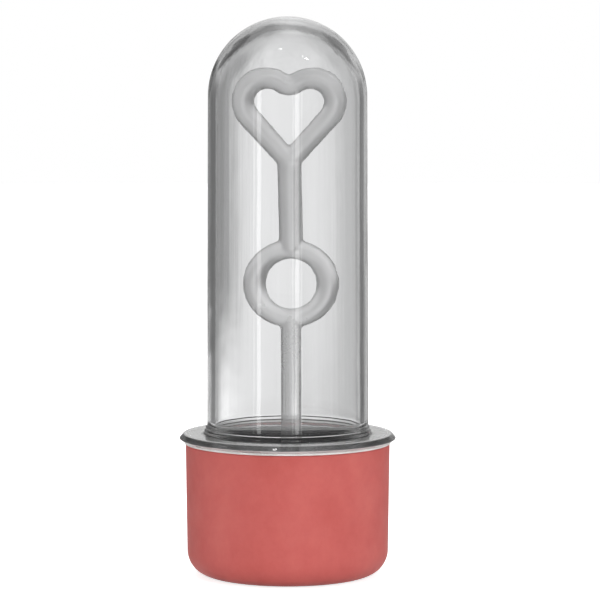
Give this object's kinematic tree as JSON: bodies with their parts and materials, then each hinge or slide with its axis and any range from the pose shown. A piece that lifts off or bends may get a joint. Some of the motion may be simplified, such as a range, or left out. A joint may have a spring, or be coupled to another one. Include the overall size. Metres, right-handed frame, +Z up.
{
  "type": "cupping cup",
  "caption": "Soft round cup holding a flanged, clear domed chamber, with a translucent wand inside that ends in a heart loop and has a ring loop half-way.",
  "frame": {"origin": "centre of the soft cup's underside, on the surface it stands on", "axes": "+Z up along the cup's and the chamber's axis; -Y towards the side that shows the heart and the ring face on; +X to the right from there"},
  "size_m": [0.0544, 0.0544, 0.1402],
  "materials": {
    "soft_cup": "matt coral silicone",
    "liner": "satin smoke-grey moulded plastic",
    "gasket": "pale translucent silicone",
    "clear_plastic": "clear, polished, with faint flow marks",
    "base_plastic": "satin smoke-grey moulded plastic",
    "wand_plastic": "hazy translucent moulded plastic"
  },
  "bodies": {
    "cup": {"cup_shell": "soft_cup", "inner_liner": "liner"},
    "chamber": {"clear_chamber": "clear_plastic", "rim_gasket": "gasket"},
    "base": {"wand_base": "base_plastic"},
    "wand": {"loop_wand": "wand_plastic"}
  },
  "joints": [
    {"name": "chamber_lift", "type": "slide", "parent": "cup", "child": "chamber", "axis": [0, 0, 1], "range_m": [0, 0.125]},
    {"name": "wand_turn", "type": "hinge", "parent": "cup", "child": "base", "pos_m": [0, 0, 0.0044], "axis": [0, 0, 1], "continuous": true},
    {"name": "wand_pull", "type": "slide", "parent": "base", "child": "wand", "axis": [0, 0, 1], "range_m": [0, 0.0065]}
  ],
  "couplings": [
    {"joint": "wand_pull", "follows": "chamber_lift", "ratio": 0.052}
  ]
}
